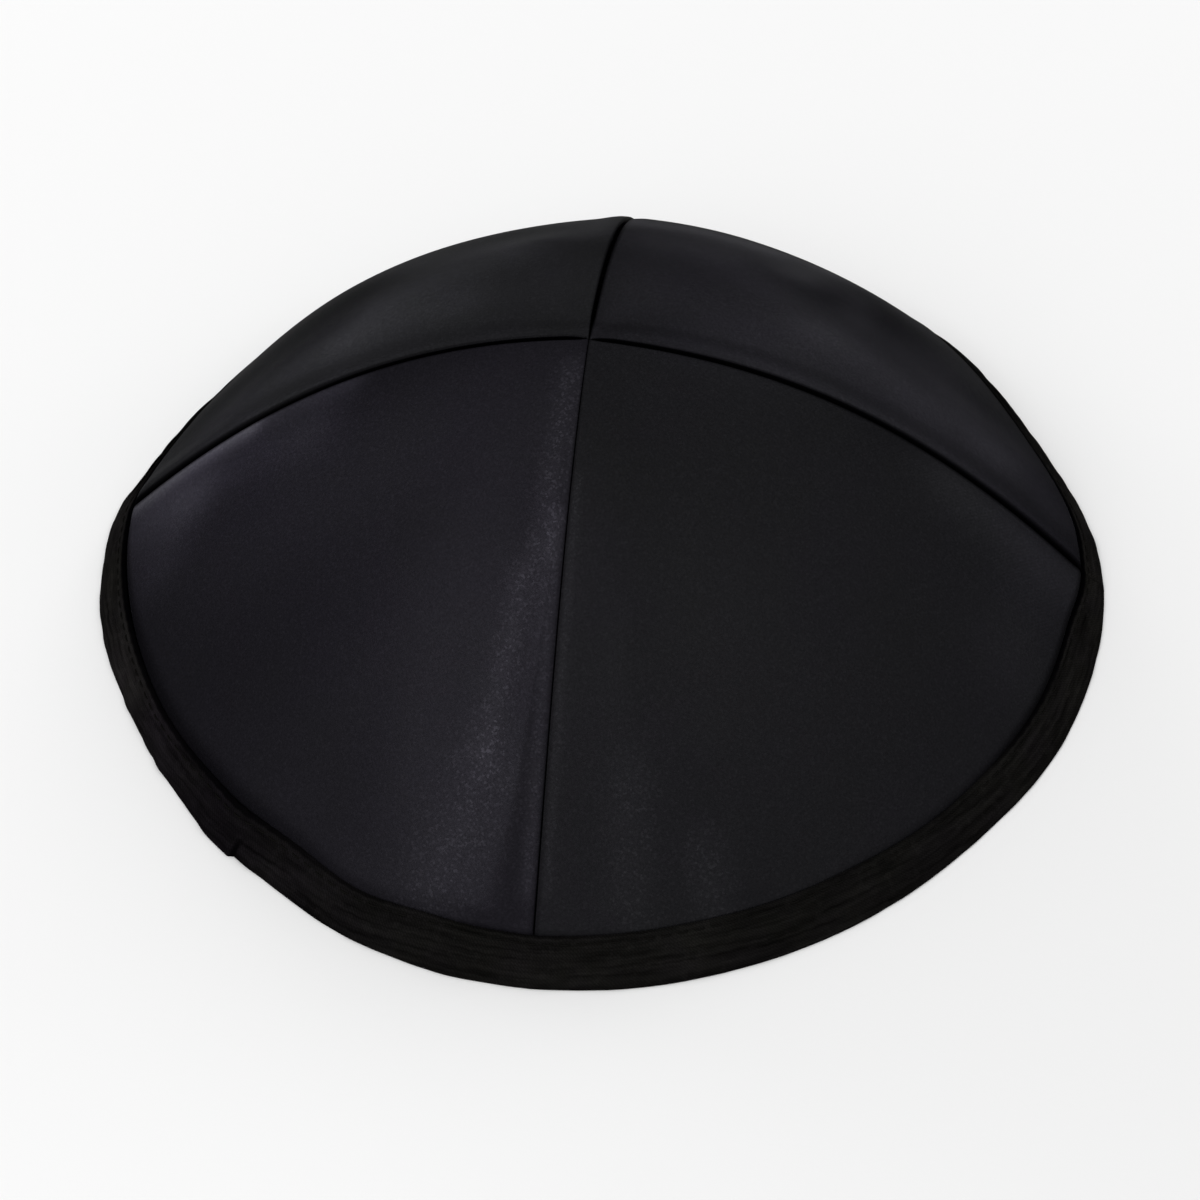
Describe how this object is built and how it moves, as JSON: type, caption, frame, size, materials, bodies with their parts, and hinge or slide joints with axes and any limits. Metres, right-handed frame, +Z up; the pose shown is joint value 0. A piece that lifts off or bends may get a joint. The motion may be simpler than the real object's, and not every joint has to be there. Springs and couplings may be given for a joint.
{
  "type": "kippah",
  "caption": "Satin skullcap: a low dome of gores that meet at the crown, with a folded bias tape bound round the rim, worn on the top of the head.",
  "frame": {"origin": "middle of the rim's outline on the plane that the rim rests on, under the crown", "axes": "+Z up out of the crown; -Y to the front, where the front seam runs down; +X to the viewer's right as seen from the front"},
  "size_m": [0.1748, 0.1749, 0.0507],
  "materials": {
    "satin": "near-black satin with a faint blue cast and a soft sheen",
    "bias_tape": "duller near-black bias tape with a faint brown cast"
  },
  "bodies": {
    "root": {"panel_front_left": "satin", "panel_front_right": "satin", "panel_back_left": "satin", "panel_back_right": "satin", "rim_binding": "bias_tape"}
  },
  "joints": []
}
